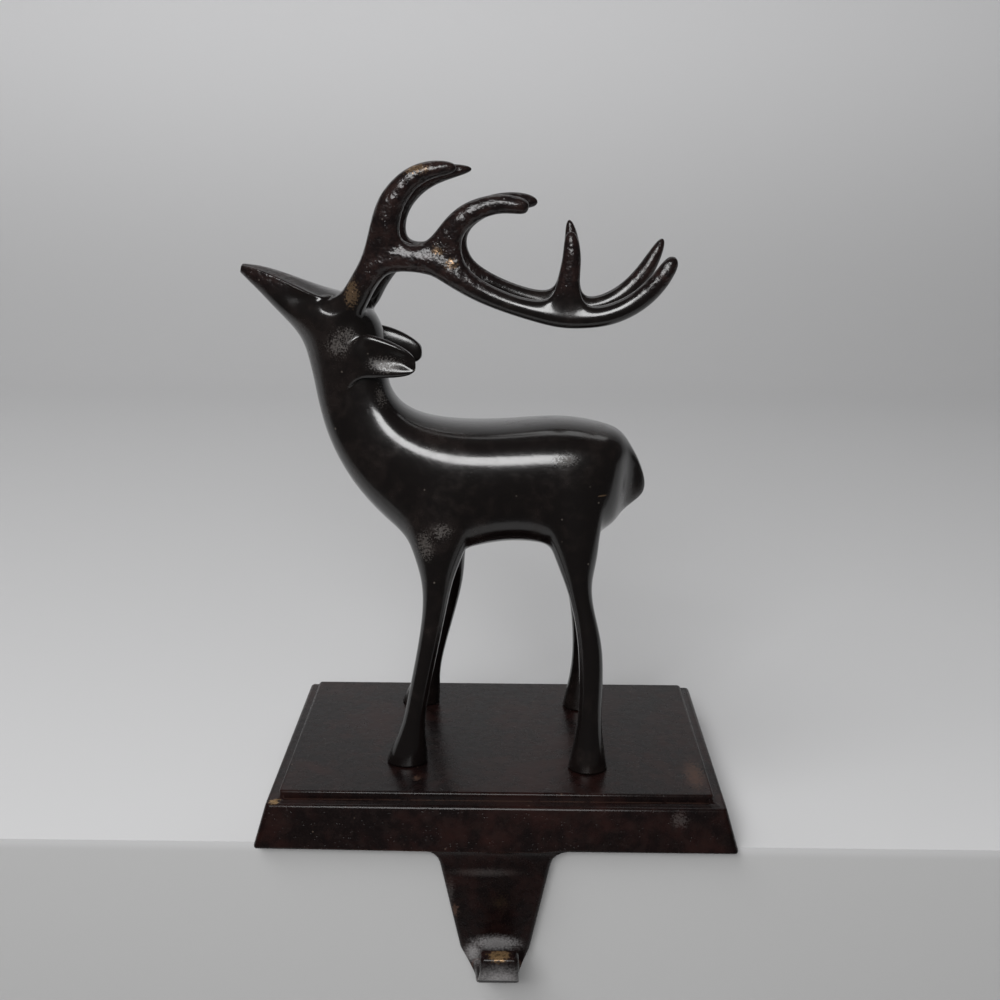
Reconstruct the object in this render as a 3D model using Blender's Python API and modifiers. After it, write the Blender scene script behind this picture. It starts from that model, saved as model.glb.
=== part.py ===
"""A cast stag stocking hanger: a smooth stag on a stepped plinth whose front wall runs on down into a hook.

Two castings. The stag is a coarse cage of rings with Subdivision Surface: one tube from tail to muzzle, out of
which legs, ears, antlers and tines grow. The plinth is a tapered block with an upper tier, hollowed from below,
and the hook is drawn out of the middle of its front wall's rim.

Metres, +Z up, the stag looking towards -X. The origin is the middle of the rear wall's underside, where the
plinth sits on a shelf; the hook hangs over the shelf's front edge, on the -Y side.
"""

import math

import bmesh
import bpy
from mathutils import Vector

# Plinth
PLINTH_LENGTH = 0.140
PLINTH_DEPTH = 0.089
LEDGE_HEIGHT = 0.0125
TIER_RISE = 0.0025
WALL_LEAN = 0.0036
LEDGE_WIDTH = 0.0033
PLINTH_WALL = 0.0040
PLINTH_CORNER = 0.0015
PLINTH_EDGE = 0.0005
SHARP_ANGLE = math.radians(35)

# Hook
HOOK_DROP = 0.0408
HOOK_THICKNESS = 0.0036
FINGER_THICKNESS = 0.0048
HOOK_GAP = 0.0088
HOOK_RISE = 0.0150
SHOULDER_WIDTH = 0.043
SHOULDER_FILLET = 0.0040
TONGUE_WIDTH = 0.0338
BEND_WIDTH = 0.0206
HOOK_BOTTOM_WIDTH = 0.0125
FINGER_WIDTH = 0.0110
FINGER_SHIFT = 0.0014
HOOK_EDGE = 0.0013
HOOK_TURN_STEPS = 10
FILLET_STEPS = (0.1, 0.3, 0.6, 1)
TONGUE_STEPS = (0.45, 0.8)

# Stag
STAG_HEIGHT = 0.175
CASTING_GAP = 0.0003

# The figure is drawn in units of which its height has this many, feet at height 0, x from the plinth's middle.
DRAWN_HEIGHT = 175.0

SPINE_SIDES = 12
LIMB_SIDES = 8

# The row of the spine, counted from the top down each side, that each kind of limb grows out of.
GROWN_FROM = {"antler": 2, "ear": 3, "leg": 4}


def cage_scale(sides):
    """How much larger than its surface a ring of a subdivided cage is."""
    return 3 / (2 + math.cos(2 * math.pi / sides))


# Half sections of the spine from top to underside: (share of the way down, share of the half width).
BARREL = [(0, 0), (0.045, 0.62), (0.19, 0.93), (0.46, 1.0), (0.76, 0.97), (0.95, 0.68), (1, 0)]
LOAF = [(0, 0), (0.04, 0.52), (0.19, 1.0), (0.44, 1.0), (0.71, 0.92), (0.93, 0.60), (1, 0)]

# Rings of the spine, tail to muzzle: top (x, z), underside (x, z), half width, share of the loaf section.
SPINE = {
    "tail_tip": ((43.9, 83.6), (43.6, 80.2), 0.9, 0),
    "tail": ((41.8, 90.0), (41.0, 77.6), 2.4, 0),
    "tail_root": ((38.6, 95.3), (36.8, 74.6), 4.4, 0),
    "rump": ((36.0, 99.0), (34.2, 71.2), 11.8, 0),
    "haunch_back": ((30.2, 100.8), (29.5, 69.0), 15.2, 0),
    "haunch": ((22.0, 102.3), (22.0, 67.2), 16.6, 0),
    "haunch_front": ((13.5, 102.4), (13.5, 65.8), 16.9, 0),
    "belly": ((3.0, 101.4), (3.0, 66.7), 17.2, 0),
    "shoulder_back": ((-7.5, 101.0), (-8.0, 64.4), 17.2, 0),
    "shoulder": ((-16.5, 101.6), (-18.5, 64.2), 16.6, 0),
    "chest": ((-22.8, 102.9), (-30.4, 69.4), 14.8, 0),
    "neck_base": ((-27.6, 105.2), (-39.2, 77.8), 12.6, 0),
    "neck_low": ((-31.0, 108.4), (-45.6, 86.6), 10.8, 0),
    "neck": ((-32.9, 112.8), (-50.2, 95.8), 9.6, 0.2),
    "ear_low": ((-33.2, 118.6), (-52.8, 105.0), 9.2, 0.5),
    "ear_middle": ((-33.3, 124.2), (-54.1, 113.0), 9.4, 0.8),
    "ear_high": ((-34.2, 129.2), (-55.4, 119.4), 9.8, 1),
    "crown": ((-36.4, 133.6), (-56.6, 124.4), 10.2, 1),
    "brow": ((-40.2, 137.0), (-58.8, 128.1), 10.0, 1),
    "forehead": ((-45.0, 139.0), (-61.2, 130.8), 8.8, 1),
    "muzzle_root": ((-50.4, 140.2), (-63.6, 133.2), 7.2, 1),
    "muzzle": ((-57.0, 142.6), (-66.3, 136.0), 5.4, 1),
    "nose": ((-63.5, 145.0), (-69.2, 139.2), 3.9, 1),
    "lip": ((-69.4, 146.6), (-72.2, 142.2), 2.6, 1),
    "muzzle_tip": ((-73.6, 146.9), (-74.3, 144.4), 1.7, 1),
}

# Legs: centre x, y and height of each ring, half length along x, half width along y, lift of the outer side.
FRONT_LEG = [
    (-17.6, 13.6, 64.0, 7.2, 5.2, 3.0),
    (-17.9, 14.4, 56.5, 4.4, 3.9, 1.0),
    (-18.7, 16.0, 47.0, 3.3, 3.2, 0),
    (-21.3, 18.1, 33.0, 3.0, 2.9, 0),
    (-24.0, 19.6, 20.0, 2.95, 2.85, 0),
    (-25.4, 20.2, 11.0, 3.5, 3.2, 0),
    (-26.8, 20.6, 3.0, 5.8, 4.5, 0),
    (-27.2, 20.6, 0.0, 6.2, 4.7, 0),
]
HIND_LEG = [
    (23.0, 13.6, 63.5, 6.4, 5.2, 3.0),
    (23.5, 14.6, 56.0, 3.7, 3.9, 1.0),
    (25.3, 16.2, 48.0, 3.0, 3.3, 0),
    (27.5, 17.8, 38.5, 3.6, 3.2, 0),
    (28.0, 18.9, 27.0, 3.5, 3.0, 0),
    (27.6, 19.9, 14.0, 3.3, 3.0, 0),
    (27.3, 20.6, 3.0, 5.4, 4.5, 0),
    (27.3, 20.6, 0.0, 5.9, 4.7, 0),
]

# How each leg differs from that drawing: shift in x of each ring, and of its foot away from the near side.
STANCES = {
    ("near", "front"): ((0, 0, 0, 0, 0, 0, 0, 0), 1.8),
    ("near", "hind"): ((0, 0, 0, 0, 0, 0, 0, 0), -1.3),
    ("far", "front"): ((1.2, 2.4, 4.2, 3.7, 2.9, 2.0, 1.2, 0.9), 2.2),
    ("far", "hind"): ((-2.4, -2.1, -1.6, -0.9, -0.2, 0, 0, 0), -0.3),
}

# Antlers: x, height, y and half thickness of each ring, from the head outwards, then how far off in x and in
# height the far antler's ring lies.
BEAM = {
    "burr": (-40.9, 137.6, 8.1, 3.9, 1.5, -1.0),
    "stem": (-38.4, 142.2, 8.6, 3.7, 1.3, -1.0),
    "fork_1_in": (-35.0, 147.2, 9.4, 3.9, 1.1, -1.0),
    "fork_1": (-31.4, 149.2, 10.0, 4.0, 0.2, -1.0),
    "fork_1_out": (-27.0, 149.7, 10.6, 3.7, 0.2, -0.9),
    "fork_2_in": (-20.5, 149.3, 11.4, 3.8, 0.4, -0.7),
    "fork_2": (-16.0, 148.0, 11.8, 3.9, 0.6, -0.4),
    "fork_2_out": (-12.0, 144.8, 12.2, 3.4, 0.8, 0.2),
    "beam_1": (-5.6, 140.6, 12.5, 2.9, 0.8, 0.5),
    "beam_2": (3.1, 137.1, 12.9, 2.6, 0.8, 0.4),
    "fork_3_in": (14.0, 134.4, 13.4, 3.0, 1.2, -0.1),
    "fork_3": (18.4, 133.9, 13.8, 3.1, 1.4, -0.4),
    "fork_3_out": (23.0, 133.7, 14.1, 2.9, 1.2, -0.5),
    "end_1": (30.8, 134.4, 14.5, 2.9, 0.4, -0.3),
    "end_2": (38.8, 138.5, 14.9, 2.9, -0.2, -0.1),
    "end_3": (44.3, 144.4, 15.2, 2.7, -0.3, 0.6),
    "end_tip": (47.9, 150.9, 15.5, 2.0, 0.3, 3.2),
}
TINES = {
    "fork_1": [
        (-31.5, 158.4, 12.2, 3.9, -0.5, -1.0),
        (-29.6, 165.2, 12.6, 3.6, -0.3, -1.0),
        (-23.8, 171.6, 13.1, 2.9, 0.9, -1.2),
        (-17.5, 173.6, 13.5, 2.3, 2.4, -0.9),
        (-11.4, 173.7, 13.8, 1.3, 3.2, -0.5),
    ],
    "fork_2": [
        (-13.4, 157.4, 12.8, 3.2, 0.5, -0.5),
        (-8.4, 162.2, 13.3, 3.0, 0.6, -0.7),
        (-1.0, 164.6, 13.9, 2.6, 1.2, -0.2),
        (5.0, 164.0, 14.3, 2.4, 2.3, 0.3),
        (8.0, 163.2, 14.5, 1.6, 2.9, 0.6),
    ],
    "fork_3": [
        (18.9, 144.2, 14.2, 2.9, 1.5, -0.6),
        (20.0, 150.6, 14.6, 2.6, 1.5, 0.2),
        (19.2, 157.6, 14.9, 1.6, 0.8, 1.8),
    ],
}
ANTLER_FLATNESS = 0.86

# How thick the far antler's tips are, of the near one's.
FAR_TIP = 0.6

# Ear: x, height, y of each ring's middle, half height, half thickness. Its outer side is dished inside a rim, and
# the dish is bowed at its ends.
EAR = [
    (-40.2, 122.4, 10.4, 6.2, 1.7),
    (-36.4, 122.2, 11.4, 6.2, 1.7),
    (-31.8, 121.6, 11.7, 5.4, 1.6),
    (-27.6, 120.7, 11.6, 4.2, 1.3),
    (-24.2, 119.9, 11.4, 2.4, 0.9),
]
EAR_RIM = 1.0
EAR_DISH = 1.6
EAR_BOW = 1.6

# How far the hollow of the eye is pressed in, at the muzzle's root.
EYE_HOLLOW = 1.6

# How sharp the brow ridges and the muzzle's end stay, of 1.
BROW_CREASE = 0.7
MUZZLE_CREASE = 0.6


def blended(first, second, share):
    """One half section between two others."""
    return [(a + (c - a) * share, b + (d - b) * share) for (a, b), (c, d) in zip(first, second)]


def spine_points(top, under, half_width, loaf):
    """Twelve points round the spine, from the top down the near side and up the far side."""
    section = blended(BARREL, LOAF, loaf)
    middle_x, middle_z = (top[0] + under[0]) / 2, (top[1] + under[1]) / 2
    larger = cage_scale(SPINE_SIDES)
    points = []
    for i in range(SPINE_SIDES):
        down, out = section[min(i, SPINE_SIDES - i)]
        side = -1 if i < SPINE_SIDES / 2 else 1
        x = top[0] + (under[0] - top[0]) * down
        z = top[1] + (under[1] - top[1]) * down
        points.append(Vector((
            middle_x + (x - middle_x) * larger,
            side * out * half_width * larger,
            middle_z + (z - middle_z) * larger,
        )))
    return points


def leg_points(side, x, y, z, along, across, lift, foot):
    """A level oval ring of a leg, or one with its outer side lifted."""
    larger = cage_scale(LIMB_SIDES)
    points = []
    for i in range(LIMB_SIDES):
        angle = 2 * math.pi * i / LIMB_SIDES
        out = math.sin(angle)
        points.append(Vector((
            x + along * larger * math.cos(angle),
            side * (y + across * larger * out) + foot,
            z + lift * out,
        )))
    return points


def branch_points(side, path):
    """Rings square to a branch's path. Point 0 of each is on the left of the way it grows, seen from the near side."""
    rings = []
    larger = cage_scale(LIMB_SIDES)
    for i, (x, z, y, thick) in enumerate(path):
        before, after = path[max(i - 1, 0)], path[min(i + 1, len(path) - 1)]
        along = Vector((after[0] - before[0], 0, after[1] - before[1])).normalized()
        left = Vector((-along.z, 0, along.x))
        middle = Vector((x, side * y, z))
        rings.append([
            middle
            + left * thick * larger * math.cos(angle)
            + Vector((0, side * thick * larger * ANTLER_FLATNESS * math.sin(angle), 0))
            for angle in (2 * math.pi * j / LIMB_SIDES for j in range(LIMB_SIDES))
        ])
    return rings


def ear_points(side, x, z, y, high, thick):
    """A flat oval across the ear, bowed between its rims."""
    larger = cage_scale(LIMB_SIDES)
    points = []
    for i in range(LIMB_SIDES):
        angle = 2 * math.pi * i / LIMB_SIDES
        points.append(Vector((
            x + EAR_BOW * abs(math.sin(2 * angle)),
            side * (y + thick * larger * math.sin(angle)),
            z + high * larger * math.cos(angle),
        )))
    return points


def both_sides(limb):
    """The near side's -1 and the far side's 1, each with the column of the spine where that limb grows."""
    return (-1, GROWN_FROM[limb]), (1, SPINE_SIDES - GROWN_FROM[limb])


def add_ring(cage, points):
    return [cage.verts.new(point) for point in points]


def skin(cage, first, second):
    """Quads between two rings with as many vertices in the same order."""
    count = len(first)
    for i in range(count):
        j = (i + 1) % count
        cage.faces.new((first[i], first[j], second[j], second[i]))


def matched(loop, ring):
    """The ring turned, and reversed if need be, so that each vertex faces its neighbour in the loop."""
    loop_middle = sum((vert.co for vert in loop), Vector()) / len(loop)
    ring_middle = sum((vert.co for vert in ring), Vector()) / len(ring)
    best, least = ring, math.inf
    for order in (ring, ring[::-1]):
        for turn in range(len(order)):
            turned = order[turn:] + order[:turn]
            apart = sum(((a.co - loop_middle) - (b.co - ring_middle)).length for a, b in zip(loop, turned))
            if apart < least:
                best, least = turned, apart
    return best


def opening(cage, rings, column):
    """Take a patch of two by two faces out of a tube's wall, and give its rim as a loop of eight vertices."""
    before, middle, after = rings
    count = len(middle)
    left, right = (column - 1) % count, (column + 1) % count
    rim = [
        before[left], before[column], before[right], middle[right],
        after[right], after[column], after[left], middle[left],
    ]
    bmesh.ops.delete(cage, geom=[middle[column]], context="VERTS")
    return rim


def nearest(ring, place):
    return min(ring, key=lambda vert: (vert.co - place).length)


def grow(cage, loop, rings):
    """Skin a loop to a row of rings, and give the rings with their vertices in the loop's order."""
    grown = []
    previous = loop
    for points in rings:
        ring = matched(previous, add_ring(cage, points))
        skin(cage, previous, ring)
        grown.append(ring)
        previous = ring
    return grown


def crease(cage, ring, value):
    """Sharpen the edges round a ring."""
    layer = cage.edges.layers.float.get("crease_edge") or cage.edges.layers.float.new("crease_edge")
    for i, vert in enumerate(ring):
        edge = cage.edges.get((vert, ring[(i + 1) % len(ring)]))
        edge[layer] = value


def crease_line(cage, verts, value):
    """Sharpen the edges along a row of vertices."""
    layer = cage.edges.layers.float.get("crease_edge") or cage.edges.layers.float.new("crease_edge")
    for first, second in zip(verts, verts[1:]):
        cage.edges.get((first, second))[layer] = value


def stance(leg, shifts, foot):
    """The leg as it stands: its rings shifted along the body, its foot set out or in."""
    top = leg[0][2]
    return [
        (x + shift, y, z, along, across, lift, foot * (1 - z / top))
        for (x, y, z, along, across, lift), shift in zip(leg, shifts)
    ]


def branch(side, path):
    """A branch's rings, on the far side with their shifts added and a finer tip."""
    path = list(path)
    if side < 0:
        return branch_points(side, [ring[:4] for ring in path])
    *rings, tip = [(x + dx, z + dz, y, thick) for x, z, y, thick, dx, dz in path]
    return branch_points(side, [*rings, (*tip[:3], tip[3] * FAR_TIP)])


def add_legs(cage, spine):
    for side, column in both_sides("leg"):
        for pair, names, leg in (
            ("front", ("shoulder_back", "shoulder", "chest"), FRONT_LEG),
            ("hind", ("haunch_back", "haunch", "haunch_front"), HIND_LEG),
        ):
            loop = opening(cage, [spine[name] for name in names], column)
            shifts, foot = STANCES["far" if side > 0 else "near", pair]
            rings = grow(cage, loop, [leg_points(side, *ring) for ring in stance(leg, shifts, foot)])
            cage.faces.new(rings[-1])
            crease(cage, rings[-1], 1)


def add_ears(cage, spine):
    for side, column in both_sides("ear"):
        loop = opening(cage, [spine[name] for name in ("ear_low", "ear_middle", "ear_high")], column)
        points = [ear_points(side, *ring) for ring in EAR]
        rings = grow(cage, loop, points)
        cage.faces.new(rings[-1])
        outer = [nearest(ring, place[LIMB_SIDES // 4]) for ring, place in zip(rings, points)]
        middle = [cage.edges.get(pair) for pair in zip(outer, outer[1:])]
        dish = list({face for edge in middle for face in edge.link_faces})
        bmesh.ops.recalc_face_normals(cage, faces=cage.faces)
        bmesh.ops.inset_region(cage, faces=dish, thickness=EAR_RIM, depth=-EAR_DISH)


def add_antlers(cage, spine):
    names = list(BEAM)
    for side, column in both_sides("antler"):
        loop = opening(cage, [spine[name] for name in ("crown", "brow", "forehead")], column)
        points = branch(side, BEAM.values())
        beam = grow(cage, loop, points)
        cage.faces.new(beam[-1])
        for fork, tine in TINES.items():
            at = names.index(fork)
            left = nearest(beam[at], points[at][0])
            rim = opening(cage, beam[at - 1:at + 2], beam[at].index(left))
            rings = grow(cage, rim, branch(side, tine))
            cage.faces.new(rings[-1])


def press_eye_hollows(spine):
    """Push the wall in under the brow ridge, just ahead of the antler."""
    for side, column in both_sides("ear"):
        spine["muzzle_root"][column].co.y -= side * EYE_HOLLOW


def stag_cage():
    """The whole stag as one closed cage, in drawn units."""
    cage = bmesh.new()
    spine = {name: add_ring(cage, spine_points(*ring)) for name, ring in SPINE.items()}
    names = list(spine)
    for first, second in zip(names, names[1:]):
        skin(cage, spine[first], spine[second])
    cage.faces.new(spine["tail_tip"])
    cage.faces.new(spine["muzzle_tip"])
    crease(cage, spine["muzzle_tip"], MUZZLE_CREASE)
    for _, column in both_sides("antler"):
        crease_line(cage, [spine[name][column] for name in names[names.index("forehead"):]], BROW_CREASE)
    press_eye_hollows(spine)
    add_legs(cage, spine)
    add_ears(cage, spine)
    add_antlers(cage, spine)
    bmesh.ops.recalc_face_normals(cage, faces=cage.faces)
    return cage


def stag_mesh():
    """The cage at its real size, feet at height 0."""
    cage = stag_cage()
    unit = STAG_HEIGHT / DRAWN_HEIGHT
    bmesh.ops.scale(cage, vec=(unit, unit, unit), verts=cage.verts)
    mesh = bpy.data.meshes.new("stag")
    cage.to_mesh(mesh)
    cage.free()
    return mesh


def tongue_width(drop, whole_drop):
    """Width of the hook's tongue at a depth below the plinth, with a fillet at each shoulder."""
    straight = TONGUE_WIDTH + (BEND_WIDTH - TONGUE_WIDTH) * drop / whole_drop
    if drop >= SHOULDER_FILLET:
        return straight
    share = 1 - drop / SHOULDER_FILLET
    return straight + (SHOULDER_WIDTH - TONGUE_WIDTH) * (1 - math.sqrt(1 - share ** 2))


def turn_width(angle):
    """Width of the hook round its bend: it narrows quickly to the lowest point, then slowly to the finger."""
    share = angle / (math.pi / 2)
    if share <= 1:
        return BEND_WIDTH + (HOOK_BOTTOM_WIDTH - BEND_WIDTH) * share
    return HOOK_BOTTOM_WIDTH + (FINGER_WIDTH - HOOK_BOTTOM_WIDTH) * (share - 1)


def hook_ring(x, y, z, angle, width):
    """The hook's oblong section, thicker outwards from angle 0, where it runs down, to pi, where it runs up."""
    across = Vector((width / 2, 0, 0))
    outward = Vector((0, math.cos(angle), math.sin(angle)))
    inner = Vector((x, y, z)) - outward * HOOK_THICKNESS / 2
    outer = inner + outward * (HOOK_THICKNESS + (FINGER_THICKNESS - HOOK_THICKNESS) * angle / math.pi)
    return [inner - across, inner + across, outer + across, outer - across]


def hook_rings():
    """Sections of the hook down the tongue, round the bend and up to the finger's tip."""
    tongue_y = -(PLINTH_DEPTH - PLINTH_WALL) / 2
    turn_radius = (HOOK_GAP + HOOK_THICKNESS) / 2
    turn_z = -HOOK_DROP + FINGER_THICKNESS / 2 + turn_radius
    drops = [SHOULDER_FILLET * share for share in FILLET_STEPS]
    drops += [-turn_z * share for share in TONGUE_STEPS]
    rings = [hook_ring(0, tongue_y, -drop, 0, tongue_width(drop, -turn_z)) for drop in drops]
    for i in range(HOOK_TURN_STEPS + 1):
        angle = math.pi * i / HOOK_TURN_STEPS
        rings.append(hook_ring(
            FINGER_SHIFT * i / HOOK_TURN_STEPS,
            tongue_y - turn_radius * (1 - math.cos(angle)),
            turn_z - turn_radius * math.sin(angle),
            angle,
            turn_width(angle),
        ))
    tip_z = -HOOK_DROP + HOOK_RISE
    rings.append(hook_ring(FINGER_SHIFT, tongue_y - 2 * turn_radius, tip_z, math.pi, FINGER_WIDTH))
    return rings


def block_with_tier():
    """The tapered block and its upper tier, sharp-edged."""
    block = bmesh.new()
    bmesh.ops.create_cube(block, size=1)
    bmesh.ops.scale(block, vec=(PLINTH_LENGTH, PLINTH_DEPTH, LEDGE_HEIGHT), verts=block.verts)
    bmesh.ops.translate(block, vec=(0, 0, LEDGE_HEIGHT / 2), verts=block.verts)
    for vert in block.verts:
        if vert.co.z > LEDGE_HEIGHT / 2:
            vert.co.x -= math.copysign(WALL_LEAN, vert.co.x)
            vert.co.y -= math.copysign(WALL_LEAN, vert.co.y)
    top = max(block.faces, key=lambda face: face.calc_center_median().z)
    bmesh.ops.inset_region(block, faces=[top], thickness=LEDGE_WIDTH, use_even_offset=True)
    tier = bmesh.ops.extrude_face_region(block, geom=[top])
    block.faces.remove(top)
    raised = [item for item in tier["geom"] if isinstance(item, bmesh.types.BMVert)]
    bmesh.ops.translate(block, vec=(0, 0, TIER_RISE), verts=raised)
    return block


def hollow_out(block):
    """Sink the underside, inside its rim, to an even wall."""
    under = min(block.faces, key=lambda face: face.calc_center_median().z)
    bmesh.ops.inset_region(block, faces=[under], thickness=PLINTH_WALL, use_even_offset=True)
    ceiling_height = LEDGE_HEIGHT + TIER_RISE - PLINTH_WALL
    lean = WALL_LEAN * ceiling_height / LEDGE_HEIGHT
    hollow = bmesh.ops.extrude_face_region(block, geom=[under])
    block.faces.remove(under)
    for vert in hollow["geom"]:
        if isinstance(vert, bmesh.types.BMVert):
            vert.co.x -= math.copysign(lean, vert.co.x)
            vert.co.y -= math.copysign(lean, vert.co.y)
            vert.co.z = ceiling_height


def front_rim(block):
    """The middle of the front wall's underside, between the hook's shoulders."""
    wall_back = PLINTH_WALL + WALL_LEAN + LEDGE_WIDTH - PLINTH_DEPTH / 2
    for side in (-1, 1):
        front = [face for face in block.faces if face.calc_center_median().y < wall_back]
        edges = list({edge for face in front for edge in face.edges})
        shoulder = (side * SHOULDER_WIDTH / 2, 0, 0)
        bmesh.ops.bisect_plane(block, geom=front + edges, plane_co=shoulder, plane_no=(1, 0, 0))
    middle = Vector((0, -(PLINTH_DEPTH - PLINTH_WALL) / 2, 0))
    return min(block.faces, key=lambda face: (face.calc_center_median() - middle).length)


def edge_rounding(edge):
    """How far an edge is rounded: the hook's edges and the upright corners more than the others."""
    if not edge.is_convex or edge.calc_face_angle() < SHARP_ANGLE:
        return 0
    along = edge.verts[1].co - edge.verts[0].co
    if min(vert.co.z for vert in edge.verts) < -SHOULDER_FILLET / 2:
        return HOOK_EDGE
    if abs(along.z) > abs(along.x) + abs(along.y):
        return PLINTH_CORNER
    return PLINTH_EDGE


def plinth_mesh():
    """A stepped block, hollowed from below, its front rim drawn out into the hook."""
    block = block_with_tier()
    hollow_out(block)
    rim = front_rim(block)
    loop = list(rim.verts)
    block.faces.remove(rim)
    hook = grow(block, loop, hook_rings())
    block.faces.new(hook[-1])
    bmesh.ops.recalc_face_normals(block, faces=block.faces)
    weight = block.edges.layers.float.new("bevel_weight_edge")
    for edge in block.edges:
        edge[weight] = edge_rounding(edge) / PLINTH_CORNER
    mesh = bpy.data.meshes.new("plinth_with_hook")
    block.to_mesh(mesh)
    block.free()
    return mesh


def metal(name, colour, roughness):
    """A dark lacquered metal."""
    material = bpy.data.materials.new(name)
    material.use_nodes = True
    shader = material.node_tree.nodes["Principled BSDF"]
    shader.inputs["Base Color"].default_value = (*colour, 1)
    shader.inputs["Roughness"].default_value = roughness
    shader.inputs["Metallic"].default_value = 0.9
    material.diffuse_color = (*colour, 1)
    return material


def clear_scene():
    for obj in list(bpy.data.objects):
        bpy.data.objects.remove(obj)


def add_part(collection, origin, name, mesh, material, height):
    part = bpy.data.objects.new(name, mesh)
    part.parent = origin
    part.location = (0, 0, height)
    mesh.materials.append(material)
    mesh.shade_smooth()
    collection.objects.link(part)
    return part


def main():
    clear_scene()
    collection = bpy.data.collections.new("stag_stocking_hanger")
    bpy.context.scene.collection.children.link(collection)
    origin = bpy.data.objects.new("shelf_seat", None)
    origin.location = (0, -(PLINTH_DEPTH - PLINTH_WALL) / 2, 0)
    collection.objects.link(origin)

    dark_bronze = metal("dark_bronze_lacquer", (0.020, 0.014, 0.012), 0.25)
    plinth_bronze = metal("mottled_bronze_lacquer", (0.035, 0.017, 0.012), 0.35)

    plinth = add_part(collection, origin, "plinth_with_hook", plinth_mesh(), plinth_bronze, 0)
    edges = plinth.modifiers.new("eased edges", "BEVEL")
    edges.width = PLINTH_CORNER
    edges.segments = 2
    edges.limit_method = "WEIGHT"
    plinth.data.set_sharp_from_angle(angle=SHARP_ANGLE)

    stag = add_part(
        collection, origin, "stag", stag_mesh(), dark_bronze, LEDGE_HEIGHT + TIER_RISE + CASTING_GAP
    )
    smooth = stag.modifiers.new("smooth casting", "SUBSURF")
    smooth.levels = smooth.render_levels = 1


main()
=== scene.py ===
"""Looks of a cast stag stocking hanger: a glossy dark stag on a mottled, stepped plinth with a hook in front.

Both castings are made again on the sizes of their solids, with finer meshes, and get lacquers whose wear
comes from node groups. The figure is drawn in units of a 175th of its height, as its solid is.
"""

import math

import bmesh
import bpy
from mathutils import Matrix, Vector


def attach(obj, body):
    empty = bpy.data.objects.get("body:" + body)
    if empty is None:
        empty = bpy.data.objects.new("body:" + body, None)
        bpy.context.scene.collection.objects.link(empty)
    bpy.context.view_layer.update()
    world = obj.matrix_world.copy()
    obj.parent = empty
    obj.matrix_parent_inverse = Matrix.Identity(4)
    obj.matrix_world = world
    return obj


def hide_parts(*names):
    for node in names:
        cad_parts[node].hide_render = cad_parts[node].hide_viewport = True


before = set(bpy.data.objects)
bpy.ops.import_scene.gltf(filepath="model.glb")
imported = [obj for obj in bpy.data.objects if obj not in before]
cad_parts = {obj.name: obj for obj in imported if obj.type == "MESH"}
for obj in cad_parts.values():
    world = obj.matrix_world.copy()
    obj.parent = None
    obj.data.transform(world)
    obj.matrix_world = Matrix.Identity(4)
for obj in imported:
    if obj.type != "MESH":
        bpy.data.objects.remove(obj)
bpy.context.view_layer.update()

# Plinth
PLINTH_LENGTH = 0.140
PLINTH_DEPTH = 0.089
LEDGE_HEIGHT = 0.0125
TIER_RISE = 0.0025
WALL_LEAN = 0.0036
LEDGE_WIDTH = 0.0033
PLINTH_WALL = 0.0040
PLINTH_CORNER = 0.0015
PLINTH_EDGE = 0.0008
EDGE_SEGMENTS = 4
SHARP_ANGLE = math.radians(35)
SAME_PLACE = 1e-5

# Hook
HOOK_DROP = 0.0408
HOOK_THICKNESS = 0.0036
FINGER_THICKNESS = 0.0048
HOOK_GAP = 0.0088
HOOK_RISE = 0.0150
SHOULDER_WIDTH = 0.043
SHOULDER_FILLET = 0.0040
TONGUE_WIDTH = 0.0338
BEND_WIDTH = 0.0206
HOOK_BOTTOM_WIDTH = 0.0125
FINGER_WIDTH = 0.0110
FINGER_SHIFT = 0.0014
HOOK_EDGE = 0.0013
HOOK_TURN_STEPS = 32
HOOK_CORNER_POINTS = 5
FILLET_STEPS = (0.1, 0.3, 0.6, 1)
TONGUE_STEPS = (0.45, 0.8)

# The plinth's middle, in front of the origin
SEAT_Y = -(PLINTH_DEPTH - PLINTH_WALL) / 2

# Stag
STAG_HEIGHT = 0.175
CASTING_GAP = 0.0003

# The figure is drawn in units of which its height has this many, feet at height 0, x from the plinth's middle
DRAWN_HEIGHT = 175.0

SPINE_SIDES = 12
LIMB_SIDES = 8

# The row of the spine, counted from the top down each side, that each kind of limb grows out of
GROWN_FROM = {"antler": 2, "ear": 3, "leg": 4}

# The eye's hollow, pressed into the divided mesh on both sides of the head: place (off the middle in y),
# reach along x, y and z, and depth
DIVISIONS = 3
EYE_PLACE = (-0.0466, 0.0098, 0.1533)
EYE_REACH = (0.0052, 0.0050, 0.0050)
EYE_DEPTH = 0.0019

# Stage: a step whose top lies just under the plinth and whose front is just behind the hook's tongue
FLOOR_TOP = -0.0003
STEP_FRONT = -0.0825
STAGE_DROP = -0.30
STAGE_FRONT = -0.40
STAGE_REACH = 1.8
STAGE_HEIGHT = 2.2
SWEEP_START = 0.60
SWEEP_RADIUS = 0.40
SWEEP_STEPS = 24

# Heights between which the stage's paint turns from the step's front, painted darker as painted shade, to its
# top, and on to the wall, painted lighter upwards as painted light
STEP_SHADE_HEIGHTS = (-0.004, -0.001)
WALL_LIGHT_HEIGHTS = (0.0, 0.40)
SHADED_FRONT_PAINT = (0.50, 0.50, 0.50)
TOP_PAINT = (0.57, 0.57, 0.575)
LIT_WALL_PAINT = (0.90, 0.90, 0.91)
PAINT_ROUGHNESS = 0.85

# How bright the surroundings are, to the eye and for the light they give
WORLD_SEEN = 0.50
WORLD_LIGHT = 0.05

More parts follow.
